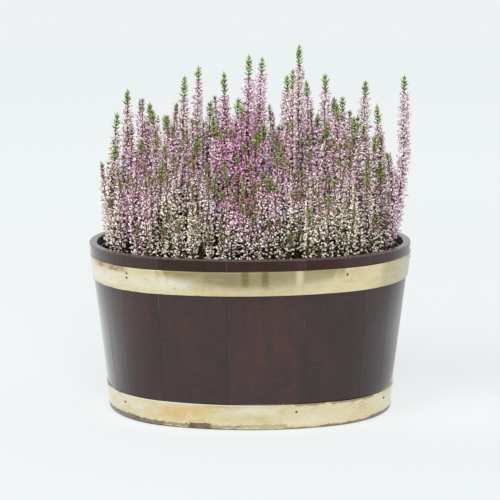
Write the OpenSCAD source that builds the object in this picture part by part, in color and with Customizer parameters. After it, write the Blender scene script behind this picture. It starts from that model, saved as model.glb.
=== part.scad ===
// Oval staved jardiniere with two brass hoops, a lift-out metal liner and three lift-out potted heathers.
// Origin: centre of the foot on the floor. X along the long axis, Y along the short axis, Z up. Millimetres.

/* [Tub] */
// Outside length of the oval rim (mm)
rim_length = 400; // [360:1:440]
// Distance from the middle of the tub to the centre of each end arc (mm)
end_centre = 63.8; // [58:0.1:70]
// Height of the staves (mm)
tub_height = 211; // [190:1:240]
// Slope of the wall, run over rise, on every side
wall_slope = 0.114; // [0.08:0.001:0.13]
// Thickness of the staves, measured level (mm)
stave_thickness = 9.5; // [9:0.1:16]
// Height of the open chime under the base boards (mm)
chime_height = 10; // [6:1:14]
// Thickness of the base boards (mm)
base_thickness = 12; // [10:0.5:16]
// Depth of the groove that holds the base boards (mm)
groove_depth = 4; // [3:0.5:4]
// Worn chamfer along the edges of the rim (mm)
rim_chamfer = 1; // [0.5:0.5:2]

/* [Hoops] */
// Thickness of the brass strip (mm)
hoop_thickness = 1.6; // [1:0.1:2.5]
// Height of the upper hoop (mm)
upper_hoop_height = 29.3; // [20:0.1:36]
// Height of the middle of the upper hoop above the floor (mm)
upper_hoop_middle = 182.7; // [160:0.1:190]
// Slope of the upper hoop, which has slipped a little out of level (degrees)
upper_hoop_tilt = 0.46; // [0:0.01:0.8]
// Height of the lower hoop (mm)
lower_hoop_height = 30.6; // [20:0.1:36]
// Height of the middle of the lower hoop above the floor (mm)
lower_hoop_middle = 16.9; // [16:0.1:24]
// Slope of the lower hoop (degrees)
lower_hoop_tilt = -0.2; // [-0.3:0.01:0.3]
// Length of the riveted lap where the ends of a hoop meet at the back (mm)
lap_length = 46; // [34:1:60]
// Diameter of the rivet shanks (mm)
rivet_d = 3.2; // [2.5:0.1:4]
// Diameter of the pin shanks that hold the hoops to the staves (mm)
pin_d = 1.8; // [1.4:0.1:2.4]

/* [Liner] */
// Gap between the staves and the liner (mm)
liner_gap = 2; // [1.5:0.1:4]
// Thickness of the liner sheet (mm)
liner_sheet = 1; // [0.8:0.1:1.6]
// Depth of the top of the liner below the rim (mm)
liner_drop = 9; // [6:1:20]
// Height of the folded hem round the top of the liner (mm)
hem_height = 9; // [6:0.5:14]

/* [Pots] */
// Diameter of a pot at its collar (mm)
pot_d = 112; // [106:1:112]
// Diameter of a pot at its base (mm)
pot_base_d = 80; // [70:1:90]
// Height of a pot (mm)
pot_height = 112; // [96:1:116]
// Distance between the middles of neighbouring pots (mm)
pot_pitch = 114; // [113:0.5:114]
// Wall of a pot (mm)
pot_wall = 1.2; // [1:0.1:2]

/* [Heather] */
// Height of the tallest flower spike above the floor (mm)
heather_top = 448; // [380:1:460]
// Thickness of a flower spike (mm)
spike_d = 10; // [7:0.5:11]
// Distance between neighbouring spike tips along the tub (mm)
spike_pitch = 20; // [18:0.5:20.5]

/* [View] */
// Sub-part to show, or all

/* [Hidden] */
$fa = 3;
$fs = 0.8;
eps = 0.05;

// four-centred oval: two end arcs and two side arcs that meet tangentially. The centres of
// neighbouring arcs and the middle form a 44 : 117 : 125 triangle
H = tub_height;
A = rim_length / 2;
cx = end_centre;
cy = cx * 117 / 44;
r_end = A - cx;
r_side = r_end + cx * 125 / 44;
B = r_side - cy;
half = atan2(44, 117);
k = wall_slope;
lean = atan(k);
t = stave_thickness;
ht = hoop_thickness;

function arc_x(i) = i == 1 ? cx : i == 3 ? -cx : 0;
function arc_y(i) = i == 0 ? cy : i == 2 ? -cy : 0;
function arc_r(i) = (i == 0 || i == 2) ? r_side : r_end;
function arc_lo(i) = i == 0 ? -half : i == 1 ? half : i == 2 ? 180 - half : 180 + half;
function arc_hi(i) = i == 0 ? half : i == 1 ? 180 - half : i == 2 ? 180 + half : 360 - half;
function turn(s) = s < -half ? s + 360 : s >= 360 - half ? s - 360 : s;
function arc_of(s) = turn(s) < half ? 0 : turn(s) < 180 - half ? 1 : turn(s) < 180 + half ? 2 : 3;
// outer radius of arc i at height z
function rad(i, z) = arc_r(i) - k * (H - z);
// x of the outer surface where its normal stands at s degrees from the front, anticlockwise from above
function surf_x(s, z) = arc_x(arc_of(s)) + rad(arc_of(s), z) * cos(s - 90);

// direction of the outward normal at s degrees, exact where two arcs meet
function dir(s) = abs(s - arc_lo(0)) < 0.001 || abs(s - arc_hi(3)) < 0.001 ? [-0.352, -0.936] :
                  abs(s - arc_lo(1)) < 0.001 ? [0.352, -0.936] : abs(s - arc_lo(2)) < 0.001 ? [0.352, 0.936] :
                  abs(s - arc_lo(3)) < 0.001 ? [-0.352, 0.936] : [cos(s - 90), sin(s - 90)];

// a sector of one arc; a profile point is [radius, z]
module sector(i, a, b, pts) {
  reach = 400;
  intersection() {
    translate([arc_x(i), arc_y(i), 0]) rotate([0, 0, i == 1 ? 180 : 0]) rotate_extrude() polygon(pts);
    translate([0, 0, -50]) linear_extrude(height = H + 100)
      polygon(concat([[arc_x(i), arc_y(i)]],
                     [for (s = [a, a + (b - a) / 3, b - (b - a) / 3, b]) [arc_x(i), arc_y(i)] + reach * dir(s)]));
  }
}

// the same with profile points as [depth in from the outer surface, z]
module arc_piece(i, a, b, pts) {
  sector(i, a, b, [for (p = pts) [rad(i, p[1]) - p[0], p[1]]]);
}

// the part of the oval ring between two normal angles
module band(a, b, pts) {
  for (j = [-1, 0, 1]) for (i = [0 : 3]) {
    lo = max(a, arc_lo(i) + 360 * j);
    hi = min(b, arc_hi(i) + 360 * j);
    if (hi - lo > 0.05) arc_piece(i, lo - 360 * j, hi - 360 * j, pts);
  }
}

module ring(pts) {
  for (i = [0 : 3]) arc_piece(i, arc_lo(i), arc_hi(i), pts);
}

// a filled oval plate whose edge is d in from the outer surface
module plate(z0, z1, d) {
  for (i = [1, 3]) sector(i, arc_lo(i), arc_hi(i), [[0, z0], [rad(i, z0) - d, z0], [rad(i, z1) - d, z1], [0, z1]]);
  for (i = [0, 2]) sector(i, arc_lo(i), arc_hi(i), [[cy - 6, z0], [rad(i, z0) - d, z0], [rad(i, z1) - d, z1], [cy - 6, z1]]);
}

// a place on the outer surface, with +Z of the child along the outward normal
module on_surface(s, z, out = 0) {
  i = arc_of(s);
  translate([arc_x(i), arc_y(i), 0]) rotate([0, 0, s - 90]) translate([rad(i, z), 0, z])
    rotate([0, 90 + lean, 0]) translate([0, 0, out]) children();
}

// ---- staves ----
// joints seen on the front, then equal staves round each end and three joints along the back
joint = concat([-60, -44.3, -20.4, -5.05, 11.8, 35.3],
               [for (i = [1 : 6]) 35.3 + i * (147 - 35.3) / 6],
               [165.5, 179, 192.5],
               [for (i = [0 : 5]) 213 + i * (300 - 213) / 5]);

stave_profile = [[0, 1], [1, 0], [t - 4, 0], [t, 4], [t, chime_height],
                 [t - groove_depth, chime_height], [t - groove_depth, chime_height + base_thickness],
                 [t, chime_height + base_thickness], [t, H - rim_chamfer], [t - rim_chamfer, H],
                 [rim_chamfer, H], [0, H - rim_chamfer]];

module stave(n) {
  a = joint[n - 1];
  b = joint[n];
  difference() {
    band(a, b, stave_profile);
    for (p = pins_upper) if (p[0] > a && p[0] < b) pin_hole(p, upper_hoop_middle, upper_hoop_tilt);
    for (p = pins_lower) if (p[0] > a && p[0] < b) pin_hole(p, lower_hoop_middle, lower_hoop_tilt);
  }
}

wood_a = [0.25, 0.10, 0.08];
wood_b = [0.29, 0.13, 0.09];
module stave_01() { color(wood_a) stave(1); }
module stave_02() { color(wood_b) stave(2); }
module stave_03() { color(wood_a) stave(3); }
module stave_04() { color(wood_b) stave(4); }
module stave_05() { color(wood_a) stave(5); }
module stave_06() { color(wood_b) stave(6); }
module stave_07() { color(wood_a) stave(7); }
module stave_08() { color(wood_b) stave(8); }
module stave_09() { color(wood_a) stave(9); }
module stave_10() { color(wood_b) stave(10); }
module stave_11() { color(wood_a) stave(11); }
module stave_12() { color(wood_b) stave(12); }
module stave_13() { color(wood_a) stave(13); }
module stave_14() { color(wood_b) stave(14); }
module stave_15() { color(wood_a) stave(15); }
module stave_16() { color(wood_b) stave(16); }
module stave_17() { color(wood_a) stave(17); }
module stave_18() { color(wood_b) stave(18); }
module stave_19() { color(wood_a) stave(19); }
module stave_20() { color(wood_b) stave(20); }

// ---- base boards, tongued and grooved, held in the groove of the staves ----
board_reach = B - k * (H - chime_height - base_thickness) - t + groove_depth;
board_w = 2 * board_reach / 3;
tongue = 5;
tongue_t = 4;

module board(y0, y1, with_tongue, with_groove) {
  z0 = chime_height;
  z1 = chime_height + base_thickness;
  zm = (z0 + z1) / 2;
  intersection() {
    plate(z0, z1, t - groove_depth);
    difference() {
      union() {
        translate([-A, y0, z0 - 1]) cube([2 * A, y1 - y0, base_thickness + 2]);
        if (with_tongue) translate([-A, y1 - 1, zm - tongue_t / 2]) cube([2 * A, tongue + 1, tongue_t]);
      }
      if (with_groove) translate([-A - 1, y0 - 1, zm - tongue_t / 2 - eps]) cube([2 * A + 2, tongue + 1 + eps, tongue_t + 2 * eps]);
    }
  }
}

module base_board_front() { color([0.33, 0.22, 0.14]) board(-board_reach - 10, -board_w / 2, true, false); }
module base_board_middle() { color([0.36, 0.24, 0.15]) board(-board_w / 2, board_w / 2, true, true); }
module base_board_back() { color([0.33, 0.22, 0.14]) board(board_w / 2, board_reach + 10, false, true); }

// ---- hoops: a conical strip that follows the staves, cut by a slab that may slope a little ----
module slab(mid, h, tilt) {
  translate([0, 0, mid]) rotate([0, -tilt, 0]) translate([-A - 20, -B - 20, -h / 2]) cube([2 * A + 40, 2 * B + 40, h]);
}

lap_half = lap_length / 2 / r_side * 180 / PI;
function pin_z(p, mid, tilt) = mid + surf_x(p[0], mid) * tan(tilt) + p[1];

module hoop(mid, h, tilt, rivets, pins) {
  z0 = floor(mid - h);
  z1 = ceil(mid + h);
  difference() {
    intersection() {
      union() {
        ring([[0, z0], [0, z1], [-ht, z1], [-ht, z0]]);
        arc_piece(2, 180 - lap_half, 180 + lap_half, [[-ht / 2, z0], [-ht / 2, z1], [-2 * ht, z1], [-2 * ht, z0]]);
      }
      slab(mid, h, tilt);
    }
    for (p = rivets) on_surface(p[0], pin_z(p, mid, tilt)) translate([0, 0, -1]) cylinder(d = rivet_d + 0.04, h = 2 * hoop_thickness + 2);
    for (p = pins) on_surface(p[0], pin_z(p, mid, tilt)) translate([0, 0, -1]) cylinder(d = pin_d + 0.04, h = hoop_thickness + 2);
  }
}

module rivet() {
  cylinder(d = rivet_d, h = 2 * hoop_thickness + 0.1);
  translate([0, 0, 2 * hoop_thickness + 0.02]) cylinder(d1 = 6.4, d2 = 5.6, h = 0.7);
  translate([0, 0, 2 * hoop_thickness + 0.72]) cylinder(d1 = 5.6, d2 = 3, h = 0.6);
}

module pin() {
  translate([0, 0, -4.8]) cylinder(d1 = 0.6, d2 = pin_d, h = 1.2);
  translate([0, 0, -3.6]) cylinder(d = pin_d, h = 3.6 + hoop_thickness + 0.1);
  translate([0, 0, hoop_thickness + 0.03]) cylinder(d1 = 3.4, d2 = 2.4, h = 0.6);
}

module pin_hole(p, mid, tilt) {
  on_surface(p[0], pin_z(p, mid, tilt)) translate([0, 0, -4.9]) cylinder(d = pin_d + 0.04, h = 8);
}

// [normal angle, height from the middle of the hoop]
rivet_step = lap_half * 0.5;
rivets_upper = [for (s = [-1, 1]) for (z = [-1, 1]) [180 + s * rivet_step, z * upper_hoop_height * 0.25]];
rivets_lower = [for (s = [-1, 1]) for (z = [-1, 1]) [180 + s * rivet_step, z * lower_hoop_height * 0.25]];
pins_upper = [[-37.8, 7.5], [-38, 2], [22, 7], [72.5 + 14, 6], [150, 7], [218, 6.5]];
pins_lower = [[-50, 5], [10.7, 6], [60, 6], [156, 5], [240, 6]];

module hoop_upper() { color([0.80, 0.69, 0.42]) hoop(upper_hoop_middle, upper_hoop_height, upper_hoop_tilt, rivets_upper, pins_upper); }
module hoop_lower() { color([0.80, 0.69, 0.42]) hoop(lower_hoop_middle, lower_hoop_height, lower_hoop_tilt, rivets_lower, pins_lower); }
module hoop_rivets_upper() { color([0.70, 0.58, 0.34]) for (p = rivets_upper) on_surface(p[0], pin_z(p, upper_hoop_middle, upper_hoop_tilt)) rivet(); }
module hoop_rivets_lower() { color([0.70, 0.58, 0.34]) for (p = rivets_lower) on_surface(p[0], pin_z(p, lower_hoop_middle, lower_hoop_tilt)) rivet(); }
module hoop_pins_upper() { color([0.45, 0.36, 0.20]) for (p = pins_upper) on_surface(p[0], pin_z(p, upper_hoop_middle, upper_hoop_tilt)) pin(); }
module hoop_pins_lower() { color([0.45, 0.36, 0.20]) for (p = pins_lower) on_surface(p[0], pin_z(p, lower_hoop_middle, lower_hoop_tilt)) pin(); }

// ---- lift-out liner ----
liner_z0 = chime_height + base_thickness + 0.5;
liner_z1 = H - liner_drop;
liner_d = t + liner_gap;

module liner_wall() {
  color([0.30, 0.31, 0.32])
    ring([[liner_d, liner_z0], [liner_d, liner_z1], [liner_d + 2.6 * liner_sheet, liner_z1],
          [liner_d + 2.6 * liner_sheet, liner_z1 - hem_height], [liner_d + liner_sheet, liner_z1 - hem_height - 1],
          [liner_d + liner_sheet, liner_z0]]);
}

module liner_floor() { color([0.27, 0.28, 0.29]) plate(liner_z0, liner_z0 + liner_sheet, liner_d + liner_sheet); }

// ---- potted heathers ----
pot_z = liner_z0 + liner_sheet + 0.3;
collar_h = 12;
r_base = pot_base_d / 2;
r_neck = pot_d / 2 - 2.6;
pot_slope = (r_neck - r_base) / (pot_height - collar_h);
fill_top = pot_height - collar_h - 2;

module pot(x) {
  translate([x, 0, pot_z]) difference() {
    rotate_extrude() polygon([[0, 0], [r_base, 0], [r_neck, pot_height - collar_h], [pot_d / 2, pot_height - collar_h],
                              [pot_d / 2, pot_height], [pot_d / 2 - pot_wall, pot_height],
                              [pot_d / 2 - pot_wall, pot_height - collar_h + pot_wall], [r_neck - pot_wall, pot_height - collar_h],
                              [r_base - pot_wall + pot_slope * 1.6, 1.6], [0, 1.6]]);
    for (a = [0 : 60 : 300]) rotate([0, 0, a]) translate([r_base * 0.62, 0, -1]) cylinder(d = 8, h = 4);
  }
}

module compost(x) {
  translate([x, 0, pot_z + 1.6]) cylinder(r1 = r_base - pot_wall + pot_slope * 1.6, r2 = r_base - pot_wall + pot_slope * fill_top, h = fill_top - 1.6);
}

// one flower spike on its stem, standing along +Z, length l
module spike(l, d) {
  hull() {
    cylinder(r = 1.3, h = 1, $fn = 6);
    translate([0, 0, l * 0.44]) cylinder(r = 1.3, h = 1, $fn = 6);
  }
  hull() {
    translate([0, 0, l * 0.4]) cylinder(r = 1.4, h = 0.5, $fn = 8);
    translate([0, 0, l * 0.5]) cylinder(r = d * 0.42, h = 0.5, $fn = 8);
    translate([0, 0, l * 0.78]) cylinder(r = d * 0.5, h = 0.5, $fn = 8);
    translate([0, 0, l - 0.5]) cylinder(r = 0.8, h = 0.5, $fn = 8);
  }
}

// a plant: a low crown on the compost, tall spikes that fan out from it, and short sprigs that lean to the rim
crown_z = pot_z + fill_top;
function tip_height(x, y) = heather_top - 68 + 26 * cos(1.1 * (x - 25)) + 14 * cos(1.5 * (y - 40)) + 28 * sin(151 * x + 97 * y);
// how far out a tip stands, as a share of the oval that the plants fill
function reach_at(x, y) = x * x / (184 * 184) + y * y / (131 * 131);

module sprig(x0, x, y, z, d) {
  bx = (x - x0) * 0.24;
  by = y * 0.24;
  dz = z - crown_z - 3;
  translate([x0 + bx, by, crown_z + 3]) rotate([0, atan2(norm([x - x0 - bx, y - by]), dz), atan2(y - by, x - x0 - bx)])
    spike(norm([x - x0 - bx, y - by, dz]), d);
}

module plant(x0, columns) {
  translate([x0, 0, crown_z]) cylinder(r1 = 42, r2 = 36, h = 8, $fn = 36);
  for (c = columns) for (row = [-3 : 1 : 3]) {
    x = x0 + (c + 0.2 * sin(113 * row + 71 * c)) * spike_pitch;
    y = (row + 0.24 * sin(59 * row + 143 * c)) * 35;
    if (reach_at(x, y) < 1) sprig(x0, x, y, tip_height(x, y), spike_d);
  }
  for (c = columns) for (side = [-1, 1]) {
    x = x0 + (c + 0.4 * side) * spike_pitch * 0.84;
    y = side * (112 + 6 * sin(211 * c)) * sqrt(max(0.12, 1 - x * x / (180 * 180)));
    sprig(x0, x, y, 246 + 14 * sin(97 * c + 40 * side), spike_d * 0.9);
  }
}

module pot_left() { color([0.16, 0.15, 0.14]) pot(-pot_pitch); }
module pot_centre() { color([0.16, 0.15, 0.14]) pot(0); }
module pot_right() { color([0.16, 0.15, 0.14]) pot(pot_pitch); }
module compost_left() { color([0.20, 0.13, 0.09]) compost(-pot_pitch); }
module compost_centre() { color([0.20, 0.13, 0.09]) compost(0); }
module compost_right() { color([0.20, 0.13, 0.09]) compost(pot_pitch); }
module heather_left() { color([0.72, 0.52, 0.62]) plant(-pot_pitch, [-3 : 1.08 : 2.41]); }
module heather_centre() { color([0.70, 0.50, 0.60]) plant(0, [-2.5 : 1.25 : 2.5]); }
module heather_right() { color([0.74, 0.60, 0.66]) plant(pot_pitch, [-2.4 : 1.08 : 3.01]); }

stave_01();
stave_02();
stave_03();
stave_04();
stave_05();
stave_06();
stave_07();
stave_08();
stave_09();
stave_10();
stave_11();
stave_12();
stave_13();
stave_14();
stave_15();
stave_16();
stave_17();
stave_18();
stave_19();
stave_20();
base_board_front();
base_board_middle();
base_board_back();
hoop_upper();
hoop_lower();
hoop_rivets_upper();
hoop_rivets_lower();
hoop_pins_upper();
hoop_pins_lower();
liner_wall();
liner_floor();
pot_left();
pot_centre();
pot_right();
compost_left();
compost_centre();
compost_right();
heather_left();
heather_centre();
heather_right();
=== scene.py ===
import math

import bpy
import numpy as np
from mathutils import Matrix, Vector


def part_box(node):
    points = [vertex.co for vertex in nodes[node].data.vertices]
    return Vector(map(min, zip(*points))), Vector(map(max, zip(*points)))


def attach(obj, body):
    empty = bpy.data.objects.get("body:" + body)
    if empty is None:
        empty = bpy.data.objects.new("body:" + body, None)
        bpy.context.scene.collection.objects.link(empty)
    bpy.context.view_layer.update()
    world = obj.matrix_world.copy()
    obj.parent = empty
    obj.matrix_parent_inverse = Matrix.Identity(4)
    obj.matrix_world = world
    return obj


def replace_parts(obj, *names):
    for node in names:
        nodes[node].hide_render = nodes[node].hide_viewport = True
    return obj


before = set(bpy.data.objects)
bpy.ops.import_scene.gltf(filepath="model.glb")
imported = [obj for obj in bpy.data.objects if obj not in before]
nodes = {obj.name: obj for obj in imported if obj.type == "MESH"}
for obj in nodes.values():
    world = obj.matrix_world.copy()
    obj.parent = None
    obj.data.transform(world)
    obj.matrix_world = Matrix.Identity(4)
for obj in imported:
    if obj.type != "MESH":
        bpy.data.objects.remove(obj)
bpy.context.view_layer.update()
scene = bpy.context.scene
scene.view_settings.view_transform = "Standard"
scene.view_settings.look = "None"

SIDES = {"left": -0.114, "centre": 0.0, "right": 0.114}


# ---------------------------------------------------------------- node graphs
class Graph:
    """A short way to write shader nodes."""

    def __init__(self, tree):
        self.tree = tree
        tree.nodes.clear()

    def new(self, kind, **settings):
        n = self.tree.nodes.new(kind)
        for key, value in settings.items():
            setattr(n, key, value)
        return n

    def put(self, socket, value):
        if isinstance(value, bpy.types.NodeSocket):
            self.tree.links.new(value, socket)
        elif value is not None:
            if socket.type == "RGBA" and len(value) == 3:
                value = (*value, 1.0)
            socket.default_value = value

    def place(self):
        return self.new("ShaderNodeTexCoord").outputs["Object"]

    def scaled(self, vector, scale, loc=(0, 0, 0)):
        n = self.new("ShaderNodeMapping")
        self.put(n.inputs["Vector"], vector)
        n.inputs["Scale"].default_value = scale
        n.inputs["Location"].default_value = loc
        return n.outputs[0]

    def noise(self, vector, scale, detail=4.0, rough=0.5, distort=0.0):
        n = self.new("ShaderNodeTexNoise")
        self.put(n.inputs["Vector"], vector)
        n.inputs["Scale"].default_value = scale
        n.inputs["Detail"].default_value = detail
        n.inputs["Roughness"].default_value = rough
        n.inputs["Distortion"].default_value = distort
        return n.outputs["Fac"]

    def cells(self, vector, scale, feature="F1"):
        n = self.new("ShaderNodeTexVoronoi", feature=feature)
        self.put(n.inputs["Vector"], vector)
        n.inputs["Scale"].default_value = scale
        return n.outputs["Distance"]

    def math(self, op, a, b=None, clamp=False):
        n = self.new("ShaderNodeMath", operation=op, use_clamp=clamp)
        self.put(n.inputs[0], a)
        self.put(n.inputs[1], b)
        return n.outputs[0]

    def span(self, value, lo, hi, to_lo=0.0, to_hi=1.0):
        n = self.new("ShaderNodeMapRange", interpolation_type="SMOOTHSTEP")
        self.put(n.inputs["Value"], value)
        n.inputs["From Min"].default_value = lo
        n.inputs["From Max"].default_value = hi
        n.inputs["To Min"].default_value = to_lo
        n.inputs["To Max"].default_value = to_hi
        return n.outputs["Result"]

    def axis(self, vector, which):
        n = self.new("ShaderNodeSeparateXYZ")
        self.put(n.inputs[0], vector)
        return n.outputs["XYZ".index(which)]

    def ramp(self, value, stops, kind="LINEAR"):
        n = self.new("ShaderNodeValToRGB")
        self.put(n.inputs[0], value)
        bar = n.color_ramp
        bar.interpolation = kind
        while len(bar.elements) < len(stops):
            bar.elements.new(0.5)
        for e, (at, colour) in zip(bar.elements, stops):
            e.position = at
            e.color = (*colour, 1.0)
        return n.outputs["Color"]

    def mix(self, fac, a, b, blend="MIX"):
        n = self.new("ShaderNodeMix", data_type="RGBA", blend_type=blend)
        self.put(n.inputs["Factor"], fac)
        self.put(n.inputs[6], a)
        self.put(n.inputs[7], b)
        return n.outputs[2]

    def bump(self, height, distance, strength=1.0, after=None):
        n = self.new("ShaderNodeBump")
        self.put(n.inputs["Height"], height)
        n.inputs["Distance"].default_value = distance
        n.inputs["Strength"].default_value = strength
        self.put(n.inputs["Normal"], after)
        return n.outputs[0]


def principled(name, **constants):
    mat = bpy.data.materials.new(name)
    mat.use_nodes = True
    g = Graph(mat.node_tree)
    out = g.new("ShaderNodeOutputMaterial")
    p = g.new("ShaderNodeBsdfPrincipled")
    g.tree.links.new(p.outputs[0], out.inputs["Surface"])
    for key, value in constants.items():
        g.put(p.inputs[key.replace("_", " ")], value)
    return mat, g, p.inputs


# ------------------------------------------------------------------ materials
# Where the staves meet, as the angle of the wall's outward normal from the front, in degrees
JOINTS = [-60, -44.3, -20.4, -5.05, 11.8, 35.3] + [35.3 + i * (147 - 35.3) / 6 for i in range(1, 7)] + [165.5, 179, 192.5] + [213 + i * (300 - 213) / 5 for i in range(6)]


def arc_centre(angle):
    """The centre of the arc of the oval on which the wall has this normal."""
    a = (angle + 180) % 360 - 180
    if abs(a) < 20.61:
        return 0.0, 0.16965
    if abs(a) > 159.39:
        return 0.0, -0.16965
    return math.copysign(0.0638, a), 0.0


def wood(name, seed, redness, light, joints):
    """Old polished mahogany: grain runs up the stave, the top edge is worn grey by rubbing."""
    mat, g, p = principled(name, Coat_Weight=0.85, Coat_Roughness=0.13, Coat_IOR=1.5, IOR=1.5, Specular_IOR_Level=0.12)
    at = g.place()
    shift = (seed * 0.37, seed * 0.61, seed * 0.23)
    streak = g.noise(g.scaled(at, (1, 1, 0.035), shift), 520, 5, 0.62)
    pores = g.noise(g.scaled(at, (1, 1, 0.06), shift), 1500, 2, 0.5)
    figure = g.noise(g.scaled(at, (1, 1, 0.24), shift), 58, 4, 0.55, 0.7)
    brushed = g.noise(g.scaled(at, (0.09, 0.09, 1), shift), 560, 4, 0.62)
    cloud = g.noise(g.scaled(at, (1, 1, 1), shift), 11, 3, 0.55)
    dark = (0.0165 * light, 0.0070 * light, 0.0062 * light)
    mid = ((0.0285 + 0.002 * redness) * light, 0.0115 * light, 0.0104 * light)
    red = ((0.041 + 0.009 * redness) * light, (0.0148 - 0.001 * redness) * light, 0.0124 * light)
    body = g.ramp(g.math("ADD", g.math("MULTIPLY", figure, 0.60), g.math("ADD", g.math("MULTIPLY", streak, 0.30), g.math("MULTIPLY", brushed, 0.10))), [(0.29, dark), (0.5, mid), (0.71, red)])
    body = g.mix(g.span(cloud, 0.38, 0.68, 0.0, 0.55), body, g.mix(1.0, body, (0.62, 0.55, 0.6), "MULTIPLY"))
    body = g.mix(g.span(pores, 0.60, 0.70, 0.0, 0.55), body, (0.006, 0.0035, 0.003))
    # fine lines of polishing run round the tub
    body = g.mix(g.span(brushed, 0.50, 0.64, 0.0, 0.13), body, (0.060, 0.036, 0.034))
    body = g.mix(g.span(brushed, 0.48, 0.36, 0.0, 0.17), body, (0.008, 0.0045, 0.005))
    z = g.axis(at, "Z")
    chips = g.noise(g.scaled(at, (1, 1, 1), shift), 190, 5, 0.65)
    up = g.span(g.axis(g.new("ShaderNodeNewGeometry").outputs["True Normal"], "Z"), 0.25, 0.9)
    rim = g.math("MULTIPLY", g.math("MULTIPLY", up, g.span(z, 0.200, 0.2085)), g.span(chips, 0.34, 0.60, 0.25, 0.95))
    body = g.mix(rim, body, (0.082, 0.070, 0.062))
    scuffs = g.math("MULTIPLY", g.span(g.noise(g.scaled(at, (1, 1, 2.4), shift), 260, 6, 0.72), 0.60, 0.72), g.span(z, 0.2060, 0.2106, 0.03, 0.8))
    body = g.mix(scuffs, body, (0.26, 0.23, 0.205))
    foot = g.math("MULTIPLY", g.span(z, 0.009, 0.0, 0.0, 1.0), g.span(chips, 0.35, 0.6, 0.3, 1.0))
    body = g.mix(foot, body, (0.045, 0.034, 0.028))
    # painted shade with dirt: the outer band between the upper hoop and the rim is darkened and browned
    band = g.math("MULTIPLY", g.span(z, 0.196, 0.199), g.span(up, 0.8, 0.2))
    body = g.mix(g.math("MULTIPLY", band, 0.85), body, g.mix(1.0, body, (0.66, 0.54, 0.46), "MULTIPLY"))
    x = g.axis(at, "X")
    rosy = g.math("ADD", g.span(x, 0.045, 0.085), g.span(x, -0.105, -0.140, 0.0, 0.45))
    body = g.mix(g.math("MULTIPLY", g.math("MULTIPLY", band, rosy), g.span(figure, 0.36, 0.6, 0.6, 1.0)), body, (0.018, 0.0008, 0.0), "ADD")
    # painted contact shadow along the edges of the hoops, together with grime
    for edge, slope in ((0.19735, 0.00803), (0.16805, 0.00803), (0.0322, -0.00349)):
        off = g.math("ABSOLUTE", g.math("SUBTRACT", g.math("SUBTRACT", z, g.math("MULTIPLY", x, slope)), edge))
        body = g.mix(g.math("MULTIPLY", g.span(off, 0.0022, 0.0006), g.span(chips, 0.3, 0.6, 0.55, 0.95)), body, (0.0055, 0.0038, 0.0030))
    # the dark line where one stave meets the next
    line = glint = None
    for angle in joints:
        cx, cy = arc_centre(angle)
        c, d = math.cos(math.radians(angle)), math.sin(math.radians(angle))
        off = g.math("ADD", g.math("MULTIPLY", g.math("SUBTRACT", x, cx), c), g.math("MULTIPLY", g.math("SUBTRACT", g.axis(at, "Y"), cy), d))
        one = g.span(g.math("ABSOLUTE", off), 0.00085, 0.00030)
        line = one if line is None else g.math("MAXIMUM", line, one)
        two = g.span(g.math("ABSOLUTE", g.math("SUBTRACT", off, 0.00035)), 0.00062, 0.00018)
        glint = two if glint is None else g.math("MAXIMUM", glint, two)
    # painted highlight: in places a pale line beside the joint stands in for light caught on the arris, and there the
    # dark joint line is fainter
    where = g.noise(g.scaled(at, (1, 1, 0.8), (seed * 0.9, 0, 0)), 30, 3, 0.6)
    arris_highlight = g.math("MAXIMUM", g.math("MULTIPLY", g.span(z, 0.100, 0.155, 0.12, 1.0), g.span(where, 0.46, 0.60)), g.math("MULTIPLY", g.span(z, 0.1975, 0.1995), g.span(chips, 0.32, 0.62, 0.25, 0.75)))
    body = g.mix(g.math("MULTIPLY", g.math("MULTIPLY", line, g.span(cloud, 0.35, 0.6, 0.62, 0.95)), g.math("SUBTRACT", 1.0, g.math("MULTIPLY", arris_highlight, 0.75))), body, (0.0050, 0.0035, 0.0030))
    body = g.mix(g.math("MULTIPLY", g.math("MULTIPLY", glint, arris_highlight), 0.62), body, (0.120, 0.098, 0.088))
    # painted sheen: the base colour greys where the polish is seen aslant, standing in for its grazing reflection
    facing = g.new("ShaderNodeLayerWeight").outputs["Facing"]
    zinc_bloom_and_painted_sheen = g.math("MULTIPLY", g.math("MULTIPLY", g.math("POWER", facing, 3.3), g.math("SUBTRACT", 1.0, g.math("MULTIPLY", line, 0.7))), g.math("MULTIPLY", g.math("MULTIPLY", g.span(z, 0.197, 0.10, 0.17, 0.86), g.span(z, 0.02, 0.10, 0.60, 1.0)), g.span(up, 1.0, 0.0, 0.25, 1.0)))
    zinc_bloom_and_painted_sheen = g.math("MULTIPLY", zinc_bloom_and_painted_sheen, g.span(g.math("ABSOLUTE", x), 0.105, 0.165, 0.05, 1.0))
    body = g.mix(zinc_bloom_and_painted_sheen, body, (0.58, 0.59, 0.60))
    g.put(p["Base Color"], body)
    # the polish is thin on the long sides, so it doesn't mirror the floor when seen from above
    thin = g.math("MULTIPLY", g.span(facing, 0.72, 0.92, 0.0, 0.88), g.span(g.math("ABSOLUTE", x), 0.165, 0.120))
    g.put(p["Coat Weight"], g.math("MULTIPLY", g.math("SUBTRACT", 1.0, thin), 0.85))
    rough = g.math("ADD", g.span(cloud, 0.3, 0.7, 0.24, 0.40), g.math("MULTIPLY", streak, 0.10))
    rough = g.math("ADD", rough, g.math("MULTIPLY", rim, 0.25))
    g.put(p["Roughness"], rough)
    fine = g.bump(g.math("ADD", g.math("MULTIPLY", streak, 0.5), g.math("MULTIPLY", pores, 0.3)), 0.00018, 0.5)
    dents = g.bump(g.noise(g.scaled(at, (1, 1, 0.45), shift), 34, 3, 0.5), 0.0011, 0.45, fine)
    seam = g.bump(g.math("SUBTRACT", 1.0, line), 0.00045, 0.7, dents)
    g.put(p["Normal"], g.bump(chips, 0.0004, 0.35, seam))
    return mat


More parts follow.
